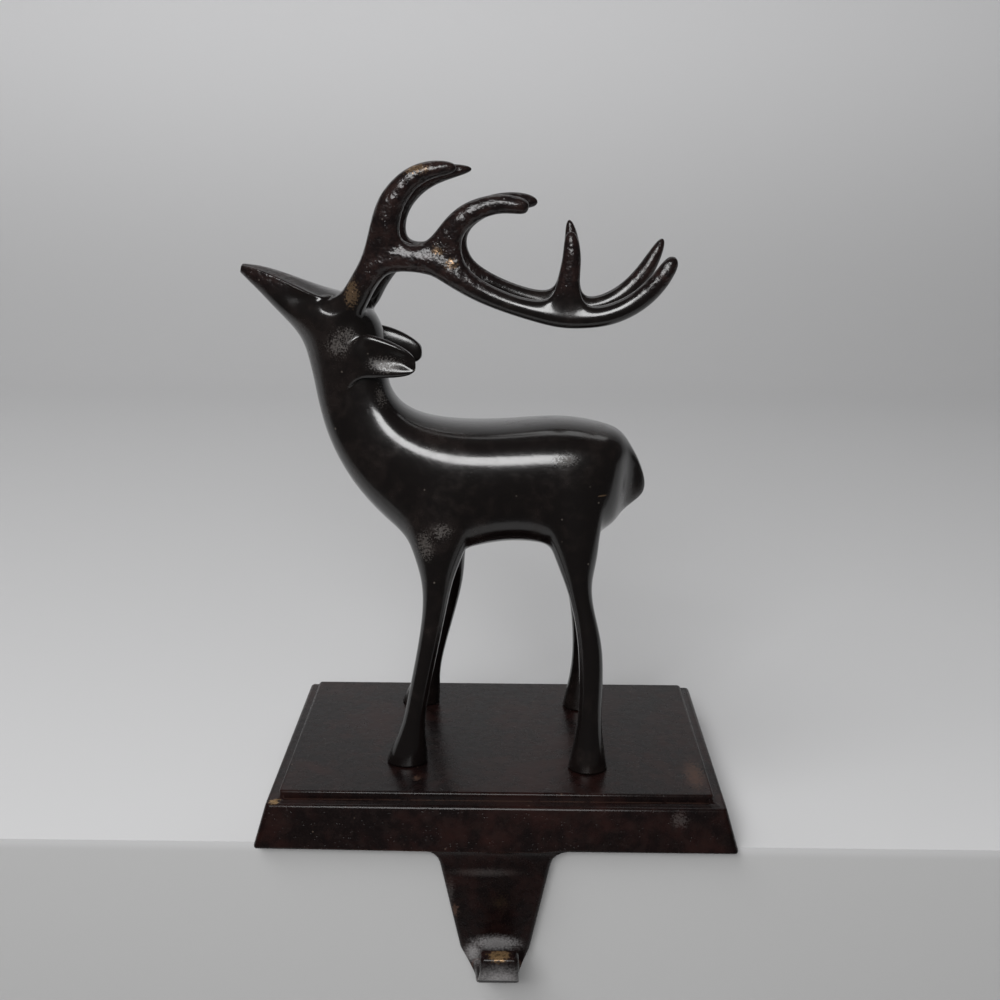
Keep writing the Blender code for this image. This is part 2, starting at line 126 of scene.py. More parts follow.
# Lights: name, direction from the figure (round from the front to +X, and up), distance, width and height,
# lean of its right end, power in watts, whether the metal mirrors it
FIGURE_MIDDLE = Vector((0, SEAT_Y, 0.11))
LIGHTS = (
    ("front_window", (-9, 27), 0.80, (0.56, 0.24), -18, 5.0, True),
    ("room_fill", (-46, 56), 1.70, (1.4, 0.9), 0, 18.5, False),
    ("wall_wash", (180, 68), 1.15, (1.4, 0.35), 0, 2.0, True),
)

# Camera, fitted to the plinth's corners in the photograph
LENS = 42.3
SENSOR_WIDTH = 36.0
NEAREST_SEEN = 0.01
VIEW_PLACE = Vector((0.0044, -0.38308, 0.19057))
VIEW_PITCH = math.radians(-16.068)
VIEW_YAW = math.radians(0.689)
VIEW_ROLL = math.radians(0.286)

# Heights between which the stag's lacquer turns to the antlers' browner one
ANTLER_TONE = (0.153, 0.160)

# Colours of the stag: its lacquer and the antlers', each from dark to light, and what lies on them
STAG_DARK = (0.0045, 0.0033, 0.0031)
STAG_LIGHT = (0.010, 0.0068, 0.0060)
ANTLER_DARK = (0.0058, 0.0034, 0.0035)
ANTLER_BROWN = (0.020, 0.0105, 0.0092)
PALE_DUST = (0.30, 0.27, 0.25)
STAG_SPECK = (0.30, 0.26, 0.22)
DULL_BRASS = (0.26, 0.17, 0.10)

# Colours of the plinth: its lacquer from dark to light, its mottling, what lies on it or shows through, and
# the pale metal of a painted sheen
PLINTH_DARK = (0.0044, 0.0026, 0.0026)
PLINTH_RED = (0.0155, 0.0056, 0.0047)
PLINTH_MOTTLE = (0.018, 0.0085, 0.0068)
PLINTH_SPECK = (0.30, 0.22, 0.17)
EDGE_WEAR = (0.085, 0.048, 0.036)
THIN_RUST = (0.15, 0.085, 0.060)
GREY_HAZE = (0.26, 0.23, 0.22)
PAINTED_SHEEN_METAL = (0.56, 0.54, 0.54)
BRIGHT_BRASS = (0.40, 0.25, 0.12)

# How far light bends in each lacquer, how rough the clear coat over it is, and how deep the casting's skin is
STAG_IOR = 1.45
PLINTH_IOR = 1.28
STAG_COAT_ROUGHNESS = 0.12
PLINTH_COAT_ROUGHNESS = 0.15
SKIN_DEPTH = 0.0004

# Worn spots: centre, radius, how far the spot is stretched along x, y and z, and how ragged it is. On the
# stag brass shows through the first and pale dust lies in the second. The plinth is rubbed to brass, hazed,
# or thinned to rust, and has a painted sheen of pale metal on the hook's bend and the finger's front.
STAG_BRASS = (
    ((-0.0412, -0.0539, 0.1552), 0.0042, (0.9, 1.0, 1.6), 0.8),
    ((-0.0170, -0.0571, 0.1671), 0.0026, (1.0, 1.0, 1.0), 1.0),
    ((-0.0132, -0.0574, 0.1636), 0.0026, (1.2, 1.0, 1.0), 1.0),
    ((-0.0225, -0.0574, 0.1886), 0.0034, (2.0, 1.0, 0.8), 0.8),
    ((0.0300, -0.0580, 0.0984), 0.0014, (2.2, 2.0, 0.35), 0.3),
)
STAG_DUST = (
    ((-0.0458, -0.0526, 0.1405), 0.0060, (1.0, 1.0, 1.0), 1.3),
    ((-0.0435, -0.0529, 0.1430), 0.0050, (1.2, 1.0, 1.0), 1.0),
    ((-0.0322, -0.0545, 0.1353), 0.0062, (1.5, 1.2, 0.7), 1.0),
    ((-0.0335, -0.0510, 0.1262), 0.0046, (0.8, 1.0, 1.4), 1.0),
    ((-0.0211, -0.0602, 0.0835), 0.0064, (0.8, 1.0, 1.3), 1.0),
    ((-0.0163, -0.0607, 0.0880), 0.0050, (1.2, 1.0, 0.9), 1.1),
    ((0.0190, -0.0580, 0.1090), 0.0040, (1.6, 1.0, 0.8), 1.1),
)
PLINTH_BRASS = (
    ((-0.0640, -0.0816, 0.0122), 0.0022, (1.2, 1.0, 1.0), 1.0),
    ((0.0014, -0.0985, -0.0258), 0.0046, (1.1, 0.8, 0.8), 0.5),
)
# Painted sheen: pale metal spots standing for the highlight on the hook's bend and the reflection on the
# finger's front
PLINTH_PAINTED_SHEEN = (
    ((0.0002, -0.0868, -0.0306), 0.0086, (1.7, 1.0, 0.62), 0.3),
    ((-0.0064, -0.0880, -0.0335), 0.0066, (0.9, 1.0, 1.0), 0.2),
    ((0.0014, -0.1020, -0.0345), 0.0120, (1.4, 1.0, 1.1), 0.15),
)
PLINTH_HAZE = (
    ((-0.0030, -0.0868, -0.0068), 0.0064, (2.8, 1.0, 0.4), 0.5),
    ((-0.0130, -0.0868, -0.0130), 0.0040, (0.5, 1.0, 1.8), 1.3),
    ((0.0528, -0.0843, 0.0095), 0.0040, (1.0, 1.0, 1.0), 1.2),
)
PLINTH_RUST = (
    ((0.0590, -0.0680, 0.0150), 0.0068, (0.8, 2.2, 1.0), 0.8),
    ((-0.0118, -0.0868, -0.0196), 0.0036, (0.6, 1.0, 1.2), 1.0),
    ((-0.0235, -0.0718, 0.0150), 0.0022, (1.0, 1.2, 1.0), 0.8),
)


def cage_scale(sides):
    """How much larger than its surface a ring of a subdivided cage is."""
    return 3 / (2 + math.cos(2 * math.pi / sides))


# Half sections of the spine from top to underside: (share of the way down, share of the half width)
BARREL = [(0, 0), (0.045, 0.62), (0.19, 0.93), (0.46, 1.0), (0.76, 0.97), (0.95, 0.68), (1, 0)]
LOAF = [(0, 0), (0.04, 0.52), (0.19, 1.0), (0.44, 1.0), (0.71, 0.92), (0.93, 0.60), (1, 0)]

# Rings of the spine, tail to muzzle: top (x, z), underside (x, z), half width, share of the loaf section.
SPINE = {
    "tail_tip": ((43.9, 83.6), (43.6, 80.2), 0.9, 0),
    "tail": ((41.8, 90.0), (41.0, 77.6), 2.4, 0),
    "tail_root": ((38.6, 95.3), (36.8, 74.6), 4.4, 0),
    "rump": ((36.0, 99.0), (34.2, 71.2), 11.8, 0),
    "haunch_back": ((30.2, 100.8), (29.5, 69.0), 15.2, 0),
    "haunch": ((22.0, 102.3), (22.0, 67.2), 16.6, 0),
    "haunch_front": ((13.5, 102.4), (13.5, 65.8), 16.9, 0),
    "belly": ((3.0, 101.4), (3.0, 66.7), 17.2, 0),
    "shoulder_back": ((-7.5, 101.0), (-8.0, 64.4), 17.2, 0),
    "shoulder": ((-16.5, 101.6), (-18.5, 64.2), 16.6, 0),
    "chest": ((-22.8, 102.9), (-30.4, 69.4), 14.8, 0),
    "neck_base": ((-27.6, 105.2), (-39.2, 77.8), 12.6, 0),
    "neck_low": ((-31.0, 108.4), (-45.6, 86.6), 10.8, 0),
    "neck": ((-32.9, 112.8), (-50.2, 95.8), 9.6, 0.2),
    "ear_low": ((-33.2, 118.6), (-52.8, 105.0), 9.2, 0.5),
    "ear_middle": ((-33.3, 124.2), (-54.1, 113.0), 9.4, 0.8),
    "ear_high": ((-34.2, 129.2), (-55.4, 119.4), 9.8, 1),
    "crown": ((-36.4, 133.6), (-56.6, 124.4), 10.2, 1),
    "brow": ((-40.2, 137.0), (-58.8, 128.1), 10.0, 1),
    "forehead": ((-45.0, 139.0), (-61.2, 130.8), 8.8, 1),
    "muzzle_root": ((-50.4, 140.2), (-63.6, 133.2), 7.2, 1),
    "muzzle": ((-57.0, 142.6), (-66.3, 136.0), 5.4, 1),
    "nose": ((-63.5, 145.0), (-69.2, 139.2), 3.9, 1),
    "lip": ((-69.4, 146.6), (-72.2, 142.2), 2.6, 1),
    "muzzle_tip": ((-73.6, 146.9), (-74.3, 144.4), 1.7, 1),
}

# Legs: centre x, y and height of each ring, half length along x, half width along y, lift of the outer side.
FRONT_LEG = [
    (-17.6, 13.6, 64.0, 7.2, 5.2, 3.0),
    (-17.9, 14.4, 56.5, 4.4, 3.9, 1.0),
    (-18.7, 16.0, 47.0, 3.3, 3.2, 0),
    (-21.3, 18.1, 33.0, 3.0, 2.9, 0),
    (-24.0, 19.6, 20.0, 2.95, 2.85, 0),
    (-25.4, 20.2, 11.0, 3.5, 3.2, 0),
    (-26.8, 20.6, 3.0, 5.8, 4.5, 0),
    (-27.2, 20.6, 0.0, 6.2, 4.7, 0),
]
HIND_LEG = [
    (23.0, 13.6, 63.5, 6.4, 5.2, 3.0),
    (23.5, 14.6, 56.0, 3.7, 3.9, 1.0),
    (25.3, 16.2, 48.0, 3.0, 3.3, 0),
    (27.5, 17.8, 38.5, 3.6, 3.2, 0),
    (28.0, 18.9, 27.0, 3.5, 3.0, 0),
    (27.6, 19.9, 14.0, 3.3, 3.0, 0),
    (27.3, 20.6, 3.0, 5.4, 4.5, 0),
    (27.3, 20.6, 0.0, 5.9, 4.7, 0),
]

# How each leg differs from that drawing: shift in x of each ring, and of its foot away from the near side.
STANCES = {
    ("near", "front"): ((0, 0, 0, 0, 0, 0, 0, 0), 1.8),
    ("near", "hind"): ((0, 0, 0, 0, 0, 0, 0, 0), -1.3),
    ("far", "front"): ((1.2, 2.4, 4.2, 3.7, 2.9, 2.0, 1.2, 0.9), 2.2),
    ("far", "hind"): ((-2.4, -2.1, -1.6, -0.9, -0.2, 0, 0, 0), -0.3),
}

# Antlers: x, height, y and half thickness of each ring, from the head outwards, then how far off in x and in
# height the far antler's ring lies.
BEAM = {
    "burr": (-40.9, 137.6, 8.1, 3.9, 1.5, -1.0),
    "stem": (-38.4, 142.2, 8.6, 3.7, 1.3, -1.0),
    "fork_1_in": (-35.0, 147.2, 9.4, 3.9, 1.1, -1.0),
    "fork_1": (-31.4, 149.2, 10.0, 4.0, 0.2, -1.0),
    "fork_1_out": (-27.0, 149.7, 10.6, 3.7, 0.2, -0.9),
    "fork_2_in": (-20.5, 149.3, 11.4, 3.8, 0.4, -0.7),
    "fork_2": (-16.0, 148.0, 11.8, 3.9, 0.6, -0.4),
    "fork_2_out": (-12.0, 144.8, 12.2, 3.4, 0.8, 0.2),
    "beam_1": (-5.6, 140.6, 12.5, 2.9, 0.8, 0.5),
    "beam_2": (3.1, 137.1, 12.9, 2.6, 0.8, 0.4),
    "fork_3_in": (14.0, 134.4, 13.4, 3.0, 1.2, -0.1),
    "fork_3": (18.4, 133.9, 13.8, 3.1, 1.4, -0.4),
    "fork_3_out": (23.0, 133.7, 14.1, 2.9, 1.2, -0.5),
    "end_1": (30.8, 134.4, 14.5, 2.9, 0.4, -0.3),
    "end_2": (38.8, 138.5, 14.9, 2.9, -0.2, -0.1),
    "end_3": (44.3, 144.4, 15.2, 2.7, -0.3, 0.6),
    "end_tip": (47.9, 150.9, 15.5, 2.0, 0.3, 3.2),
}
TINES = {
    "fork_1": [
        (-31.5, 158.4, 12.2, 3.9, -0.5, -1.0),
        (-29.6, 165.2, 12.6, 3.6, -0.3, -1.0),
        (-23.8, 171.6, 13.1, 2.9, 0.9, -1.2),
        (-17.5, 173.6, 13.5, 2.3, 2.4, -0.9),
        (-11.4, 173.7, 13.8, 1.3, 3.2, -0.5),
    ],
    "fork_2": [
        (-13.4, 157.4, 12.8, 3.2, 0.5, -0.5),
        (-8.4, 162.2, 13.3, 3.0, 0.6, -0.7),
        (-1.0, 164.6, 13.9, 2.6, 1.2, -0.2),
        (5.0, 164.0, 14.3, 2.4, 2.3, 0.3),
        (8.0, 163.2, 14.5, 1.6, 2.9, 0.6),
    ],
    "fork_3": [
        (18.9, 144.2, 14.2, 2.9, 1.5, -0.6),
        (20.0, 150.6, 14.6, 2.6, 1.5, 0.2),
        (19.2, 157.6, 14.9, 1.6, 0.8, 1.8),
    ],
}
ANTLER_FLATNESS = 0.86

# How thick the far antler's tips are, of the near one's.
FAR_TIP = 0.6

# Ear: x, height, y of each ring's middle, half height, half thickness
EAR = [
    (-40.2, 122.4, 10.4, 6.2, 1.7),
    (-36.4, 122.2, 11.4, 6.2, 1.7),
    (-31.8, 121.6, 11.7, 5.4, 1.6),
    (-27.6, 120.7, 11.6, 4.2, 1.3),
    (-24.2, 119.9, 11.4, 2.4, 0.9),
]

# The dish in the ear's outer side: width of the rim round it, its depth, and how much deeper its middle is;
# then how far each ring is bowed between top, bottom and sides
EAR_RIM = 1.3
EAR_DISH = 0.5
EAR_BOWL = 1.5
EAR_BOW = 1.6

# How far the hollow of the eye is pressed in, at the muzzle's root.
EYE_HOLLOW = 1.6

# How sharp the brow ridges and the muzzle's end stay, of 1.
BROW_CREASE = 0.7
MUZZLE_CREASE = 0.6


def blended(first, second, share):
    """One half section between two others."""
    return [(a + (c - a) * share, b + (d - b) * share) for (a, b), (c, d) in zip(first, second)]


def spine_points(top, under, half_width, loaf):
    """Twelve points round the spine, from the top down the near side and up the far side."""
    section = blended(BARREL, LOAF, loaf)
    middle_x, middle_z = (top[0] + under[0]) / 2, (top[1] + under[1]) / 2
    larger = cage_scale(SPINE_SIDES)
    points = []
    for i in range(SPINE_SIDES):
        down, out = section[min(i, SPINE_SIDES - i)]
        side = -1 if i < SPINE_SIDES / 2 else 1
        x = top[0] + (under[0] - top[0]) * down
        z = top[1] + (under[1] - top[1]) * down
        points.append(Vector((
            middle_x + (x - middle_x) * larger,
            side * out * half_width * larger,
            middle_z + (z - middle_z) * larger,
        )))
    return points


def leg_points(side, x, y, z, along, across, lift, foot):
    """A level oval ring of a leg, or one with its outer side lifted."""
    larger = cage_scale(LIMB_SIDES)
    points = []
    for i in range(LIMB_SIDES):
        angle = 2 * math.pi * i / LIMB_SIDES
        out = math.sin(angle)
        points.append(Vector((
            x + along * larger * math.cos(angle),
            side * (y + across * larger * out) + foot,
            z + lift * out,
        )))
    return points


def branch_points(side, path):
    """Rings square to a branch's path. Point 0 of each is on the left of its way, seen from the near side."""
    rings = []
    larger = cage_scale(LIMB_SIDES)
    for i, (x, z, y, thick) in enumerate(path):
        before, after = path[max(i - 1, 0)], path[min(i + 1, len(path) - 1)]
        along = Vector((after[0] - before[0], 0, after[1] - before[1])).normalized()
        left = Vector((-along.z, 0, along.x))
        middle = Vector((x, side * y, z))
        rings.append([
            middle
            + left * thick * larger * math.cos(angle)
            + Vector((0, side * thick * larger * ANTLER_FLATNESS * math.sin(angle), 0))
            for angle in (2 * math.pi * j / LIMB_SIDES for j in range(LIMB_SIDES))
        ])
    return rings


def ear_points(side, x, z, y, high, thick):
    """A flat oval across the ear, bowed between its rims."""
    larger = cage_scale(LIMB_SIDES)
    points = []
    for i in range(LIMB_SIDES):
        angle = 2 * math.pi * i / LIMB_SIDES
        points.append(Vector((
            x + EAR_BOW * abs(math.sin(2 * angle)),
            side * (y + thick * larger * math.sin(angle)),
            z + high * larger * math.cos(angle),
        )))
    return points


def both_sides(limb):
    """The near side's -1 and the far side's 1, each with the column of the spine where that limb grows."""
    return (-1, GROWN_FROM[limb]), (1, SPINE_SIDES - GROWN_FROM[limb])


def add_ring(cage, points):
    return [cage.verts.new(point) for point in points]


def skin(cage, first, second):
    """Quads between two rings with as many vertices in the same order."""
    count = len(first)
    for i in range(count):
        j = (i + 1) % count
        cage.faces.new((first[i], first[j], second[j], second[i]))


def matched(loop, ring):
    """The ring turned, and reversed if need be, so that each vertex faces its neighbour in the loop."""
    loop_middle = sum((vert.co for vert in loop), Vector()) / len(loop)
    ring_middle = sum((vert.co for vert in ring), Vector()) / len(ring)
    best, least = ring, math.inf
    for order in (ring, ring[::-1]):
        for turn in range(len(order)):
            turned = order[turn:] + order[:turn]
            apart = sum(((a.co - loop_middle) - (b.co - ring_middle)).length for a, b in zip(loop, turned))
            if apart < least:
                best, least = turned, apart
    return best


def opening(cage, rings, column):
    """Take a patch of two by two faces out of a tube's wall, and give its rim as a loop of eight vertices."""
    before, middle, after = rings
    count = len(middle)
    left, right = (column - 1) % count, (column + 1) % count
    rim = [
        before[left], before[column], before[right], middle[right],
        after[right], after[column], after[left], middle[left],
    ]
    bmesh.ops.delete(cage, geom=[middle[column]], context="VERTS")
    return rim


def nearest(ring, place):
    return min(ring, key=lambda vert: (vert.co - place).length)


def grow(cage, loop, rings):
    """Skin a loop to a row of rings, and give the rings with their vertices in the loop's order."""
    grown = []
    previous = loop
    for points in rings:
        ring = matched(previous, add_ring(cage, points))
        skin(cage, previous, ring)
        grown.append(ring)
        previous = ring
    return grown


def crease(cage, ring, value):
    """Sharpen the edges round a ring."""
    layer = cage.edges.layers.float.get("crease_edge") or cage.edges.layers.float.new("crease_edge")
    for i, vert in enumerate(ring):
        edge = cage.edges.get((vert, ring[(i + 1) % len(ring)]))
        edge[layer] = value


def crease_line(cage, verts, value):
    """Sharpen the edges along a row of vertices."""
    layer = cage.edges.layers.float.get("crease_edge") or cage.edges.layers.float.new("crease_edge")
    for first, second in zip(verts, verts[1:]):
        cage.edges.get((first, second))[layer] = value


def stance(leg, shifts, foot):
    """The leg as it stands: its rings shifted along the body, its foot set out or in."""
    top = leg[0][2]
    return [
        (x + shift, y, z, along, across, lift, foot * (1 - z / top))
        for (x, y, z, along, across, lift), shift in zip(leg, shifts)
    ]


def branch(side, path):
    """A branch's rings, on the far side with their shifts added and a finer tip."""
    path = list(path)
    if side < 0:
        return branch_points(side, [ring[:4] for ring in path])
    *rings, tip = [(x + dx, z + dz, y, thick) for x, z, y, thick, dx, dz in path]
    return branch_points(side, [*rings, (*tip[:3], tip[3] * FAR_TIP)])


def add_legs(cage, spine):
    for side, column in both_sides("leg"):
        for pair, names, leg in (
            ("front", ("shoulder_back", "shoulder", "chest"), FRONT_LEG),
            ("hind", ("haunch_back", "haunch", "haunch_front"), HIND_LEG),
        ):
            loop = opening(cage, [spine[name] for name in names], column)
            shifts, foot = STANCES["far" if side > 0 else "near", pair]
            rings = grow(cage, loop, [leg_points(side, *ring) for ring in stance(leg, shifts, foot)])
            cage.faces.new(rings[-1])
            crease(cage, rings[-1], 1)


def add_ears(cage, spine):
    for side, column in both_sides("ear"):
        loop = opening(cage, [spine[name] for name in ("ear_low", "ear_middle", "ear_high")], column)
        points = [ear_points(side, *ring) for ring in EAR]
        rings = grow(cage, loop, points)
        cage.faces.new(rings[-1])
        outer = [nearest(ring, place[LIMB_SIDES // 4]) for ring, place in zip(rings, points)]
        middle = [cage.edges.get(pair) for pair in zip(outer, outer[1:])]
        dish = list({face for edge in middle for face in edge.link_faces})
        bmesh.ops.recalc_face_normals(cage, faces=cage.faces)
        bmesh.ops.inset_region(cage, faces=dish, thickness=EAR_RIM, depth=-EAR_DISH)
        for vert in {vert for face in dish for vert in face.verts}:
            if all(face in dish for face in vert.link_faces):
                vert.co.y -= side * EAR_BOWL


def add_antlers(cage, spine):
    names = list(BEAM)
    for side, column in both_sides("antler"):
        loop = opening(cage, [spine[name] for name in ("crown", "brow", "forehead")], column)
        points = branch(side, BEAM.values())
        beam = grow(cage, loop, points)
        cage.faces.new(beam[-1])
        for fork, tine in TINES.items():
            at = names.index(fork)
            left = nearest(beam[at], points[at][0])
            rim = opening(cage, beam[at - 1:at + 2], beam[at].index(left))
            rings = grow(cage, rim, branch(side, tine))
            cage.faces.new(rings[-1])


def press_eye_hollows(spine):
    """Push the wall in under the brow ridge, just ahead of the antler."""
    for side, column in both_sides("ear"):
        spine["muzzle_root"][column].co.y -= side * EYE_HOLLOW


def stag_cage():
    """The whole stag as one closed cage, in drawn units."""
    cage = bmesh.new()
    spine = {name: add_ring(cage, spine_points(*ring)) for name, ring in SPINE.items()}
    names = list(spine)
    for first, second in zip(names, names[1:]):
        skin(cage, spine[first], spine[second])
    cage.faces.new(spine["tail_tip"])
    cage.faces.new(spine["muzzle_tip"])
    crease(cage, spine["muzzle_tip"], MUZZLE_CREASE)
    for _, column in both_sides("antler"):
        crease_line(cage, [spine[name][column] for name in names[names.index("forehead"):]], BROW_CREASE)
    press_eye_hollows(spine)
    add_legs(cage, spine)
    add_ears(cage, spine)
    add_antlers(cage, spine)
    bmesh.ops.recalc_face_normals(cage, faces=cage.faces)
    return cage


def stag_mesh():
    """The cage at its real size, standing on the plinth's upper tier."""
    cage = stag_cage()
    unit = STAG_HEIGHT / DRAWN_HEIGHT
    bmesh.ops.scale(cage, vec=(unit, unit, unit), verts=cage.verts)
    bmesh.ops.translate(cage, vec=(0, SEAT_Y, LEDGE_HEIGHT + TIER_RISE + CASTING_GAP), verts=cage.verts)
    mesh = bpy.data.meshes.new("stag")
    cage.to_mesh(mesh)
    cage.free()
    return mesh


def divided(cage_mesh):
    """The smooth surface of a cage, as a fine mesh of its own."""
    model = bpy.data.objects.new("cage", cage_mesh)
    bpy.context.scene.collection.objects.link(model)
    model.modifiers.new("smooth casting", "SUBSURF").levels = DIVISIONS
    mesh = bpy.data.meshes.new_from_object(model.evaluated_get(bpy.context.evaluated_depsgraph_get()))
    bpy.data.objects.remove(model)
    return mesh


def press(mesh, place, reach, depth):
    """Push a smooth hollow into both sides of the head."""
    x, off, z = place
    for vert in mesh.vertices:
        side = math.copysign(1, vert.co.y - SEAT_Y)
        away = vert.co - Vector((x, SEAT_Y + side * off, z))
        apart = Vector(part / most for part, most in zip(away, reach)).length
        if apart < 1:
            vert.co.y -= side * depth * (1 - apart ** 2) ** 2


def tongue_width(drop, whole_drop):
    """Width of the hook's tongue at a depth below the plinth, with a fillet at each shoulder."""
    straight = TONGUE_WIDTH + (BEND_WIDTH - TONGUE_WIDTH) * drop / whole_drop
    if drop >= SHOULDER_FILLET:
        return straight
    share = 1 - drop / SHOULDER_FILLET
    return straight + (SHOULDER_WIDTH - TONGUE_WIDTH) * (1 - math.sqrt(1 - share ** 2))


def turn_width(angle):
    """Width of the hook round its bend: it narrows quickly to the lowest point, then slowly to the finger."""
    if angle <= math.pi / 2:
        return BEND_WIDTH + (HOOK_BOTTOM_WIDTH - BEND_WIDTH) * math.sin(angle) ** 1.2
    return FINGER_WIDTH + (HOOK_BOTTOM_WIDTH - FINGER_WIDTH) * math.sin(angle)


def hook_ring(x, y, z, angle, width, inset=0.0):
    """The hook's section, a rounded oblong, thicker outwards from angle 0, where it runs down, to pi.

    An inset draws it in on all sides, for the domed tip.
    """
    outward = Vector((0, math.cos(angle), math.sin(angle)))
    thickness = HOOK_THICKNESS + (FINGER_THICKNESS - HOOK_THICKNESS) * angle / math.pi
    middle = Vector((x, y, z)) + outward * (thickness - HOOK_THICKNESS) / 2
    rounding = HOOK_EDGE - inset / 2
    reach, depth = width / 2 - inset - rounding, thickness / 2 - inset - rounding
    points = []
    for quarter, (right, out) in enumerate(((-1, -1), (1, -1), (1, 1), (-1, 1))):
        for step in range(HOOK_CORNER_POINTS):
            turn = math.pi / 2 * (quarter + 2 + step / (HOOK_CORNER_POINTS - 1))
            across = Vector((right * reach + rounding * math.cos(turn), 0, 0))
            points.append(middle + across + outward * (out * depth + rounding * math.sin(turn)))
    return points


def hook_rings():
    """Sections of the hook down the tongue, round the bend and up to the finger's tip."""
    tongue_y = -(PLINTH_DEPTH - PLINTH_WALL) / 2
    turn_radius = (HOOK_GAP + HOOK_THICKNESS) / 2
    turn_z = -HOOK_DROP + FINGER_THICKNESS / 2 + turn_radius
    drops = [SHOULDER_FILLET * share for share in FILLET_STEPS]
    drops += [-turn_z * share for share in TONGUE_STEPS]
    rings = [hook_ring(0, tongue_y, -drop, 0, tongue_width(drop, -turn_z)) for drop in drops]
    for i in range(HOOK_TURN_STEPS + 1):
        angle = math.pi * i / HOOK_TURN_STEPS
        rings.append(hook_ring(
            FINGER_SHIFT * i / HOOK_TURN_STEPS,
            tongue_y - turn_radius * (1 - math.cos(angle)),
            turn_z - turn_radius * math.sin(angle),
            angle,
            turn_width(angle),
        ))
    tip_z = -HOOK_DROP + HOOK_RISE
    for step in range(HOOK_CORNER_POINTS):
        turn = math.pi / 2 * step / (HOOK_CORNER_POINTS - 1)
        z = tip_z - HOOK_EDGE * (1 - math.sin(turn))
        inset = HOOK_EDGE * (1 - math.cos(turn))
        rings.append(hook_ring(FINGER_SHIFT, tongue_y - 2 * turn_radius, z, math.pi, FINGER_WIDTH, inset))
    return rings


def split_evenly(block, loop, parts):
    """Split the edges round a loop of vertices into equal parts, and give the longer loop."""
    longer = []
    for first, last in zip(loop, loop[1:] + loop[:1]):
        longer.append(first)
        for left in range(parts, 1, -1):
            edge = block.edges.get((longer[-1], last))
            longer.append(bmesh.utils.edge_split(edge, longer[-1], 1 / left)[1])
    return longer


def block_with_tier():
    """The tapered block and its upper tier, sharp-edged."""
    block = bmesh.new()
    bmesh.ops.create_cube(block, size=1)
    bmesh.ops.scale(block, vec=(PLINTH_LENGTH, PLINTH_DEPTH, LEDGE_HEIGHT), verts=block.verts)
    bmesh.ops.translate(block, vec=(0, 0, LEDGE_HEIGHT / 2), verts=block.verts)
    for vert in block.verts:
        if vert.co.z > LEDGE_HEIGHT / 2:
            vert.co.x -= math.copysign(WALL_LEAN, vert.co.x)
            vert.co.y -= math.copysign(WALL_LEAN, vert.co.y)
    top = max(block.faces, key=lambda face: face.calc_center_median().z)
    bmesh.ops.inset_region(block, faces=[top], thickness=LEDGE_WIDTH, use_even_offset=True)
    tier = bmesh.ops.extrude_face_region(block, geom=[top])
    block.faces.remove(top)
    raised = [item for item in tier["geom"] if isinstance(item, bmesh.types.BMVert)]
    bmesh.ops.translate(block, vec=(0, 0, TIER_RISE), verts=raised)
    return block


def hollow_out(block):
    """Sink the underside, inside its rim, to an even wall."""
    under = min(block.faces, key=lambda face: face.calc_center_median().z)
    bmesh.ops.inset_region(block, faces=[under], thickness=PLINTH_WALL, use_even_offset=True)
    ceiling_height = LEDGE_HEIGHT + TIER_RISE - PLINTH_WALL
    lean = WALL_LEAN * ceiling_height / LEDGE_HEIGHT
    hollow = bmesh.ops.extrude_face_region(block, geom=[under])
    block.faces.remove(under)
    for vert in hollow["geom"]:
        if isinstance(vert, bmesh.types.BMVert):
            vert.co.x -= math.copysign(lean, vert.co.x)
            vert.co.y -= math.copysign(lean, vert.co.y)
            vert.co.z = ceiling_height


def front_rim(block):
    """The middle of the front wall's underside, between the hook's shoulders."""
    wall_back = PLINTH_WALL + WALL_LEAN + LEDGE_WIDTH - PLINTH_DEPTH / 2
    for side in (-1, 1):
        front = [face for face in block.faces if face.calc_center_median().y < wall_back]
        edges = list({edge for face in front for edge in face.edges})
        shoulder = (side * SHOULDER_WIDTH / 2, 0, 0)
        bmesh.ops.bisect_plane(block, geom=front + edges, plane_co=shoulder, plane_no=(1, 0, 0))
    middle = Vector((0, -(PLINTH_DEPTH - PLINTH_WALL) / 2, 0))
    return min(block.faces, key=lambda face: (face.calc_center_median() - middle).length)


def edge_rounding(edge):
    """How far an edge is rounded: upright corners the most, the hook's edges and its root not at all."""
    if not edge.is_convex or edge.calc_face_angle() < SHARP_ANGLE:
        return 0
    along = edge.verts[1].co - edge.verts[0].co
    if min(vert.co.z for vert in edge.verts) < -SHOULDER_FILLET / 2:
        return 0
    root_reach = SHOULDER_WIDTH / 2 + SAME_PLACE
    if all(abs(vert.co.z) < SAME_PLACE and abs(vert.co.x) < root_reach for vert in edge.verts):
        return 0
    if abs(along.z) > abs(along.x) + abs(along.y):
        return PLINTH_CORNER
    return PLINTH_EDGE


def plinth_mesh():
    """A stepped block, hollowed from below, its front rim drawn out into the hook."""
    block = block_with_tier()
    hollow_out(block)
    rim = front_rim(block)
    loop = list(rim.verts)
    block.faces.remove(rim)
    loop = split_evenly(block, loop, HOOK_CORNER_POINTS)
    hook = grow(block, loop, hook_rings())
    block.faces.new(hook[-1])
    bmesh.ops.recalc_face_normals(block, faces=block.faces)
    weight = block.edges.layers.float.new("bevel_weight_edge")
    for edge in block.edges:
        edge[weight] = edge_rounding(edge) / PLINTH_CORNER
    bmesh.ops.translate(block, vec=(0, SEAT_Y, 0), verts=block.verts)
    mesh = bpy.data.meshes.new("plinth_with_hook")
    block.to_mesh(mesh)
    block.free()
    return mesh


def put(tree, kind, values=None, **settings):
    """A node with its settings, and its inputs set to values or linked to sockets."""
    node = tree.nodes.new(kind)
    for setting, value in settings.items():
        setattr(node, setting, value)
    for socket, value in (values or {}).items():
        if isinstance(value, bpy.types.NodeSocket):
            tree.links.new(value, node.inputs[socket])
        else:
            node.inputs[socket].default_value = value
    return node


def colour(value):
    """A colour with its alpha, or a socket as it is."""
    return (*value, 1) if isinstance(value, tuple) else value


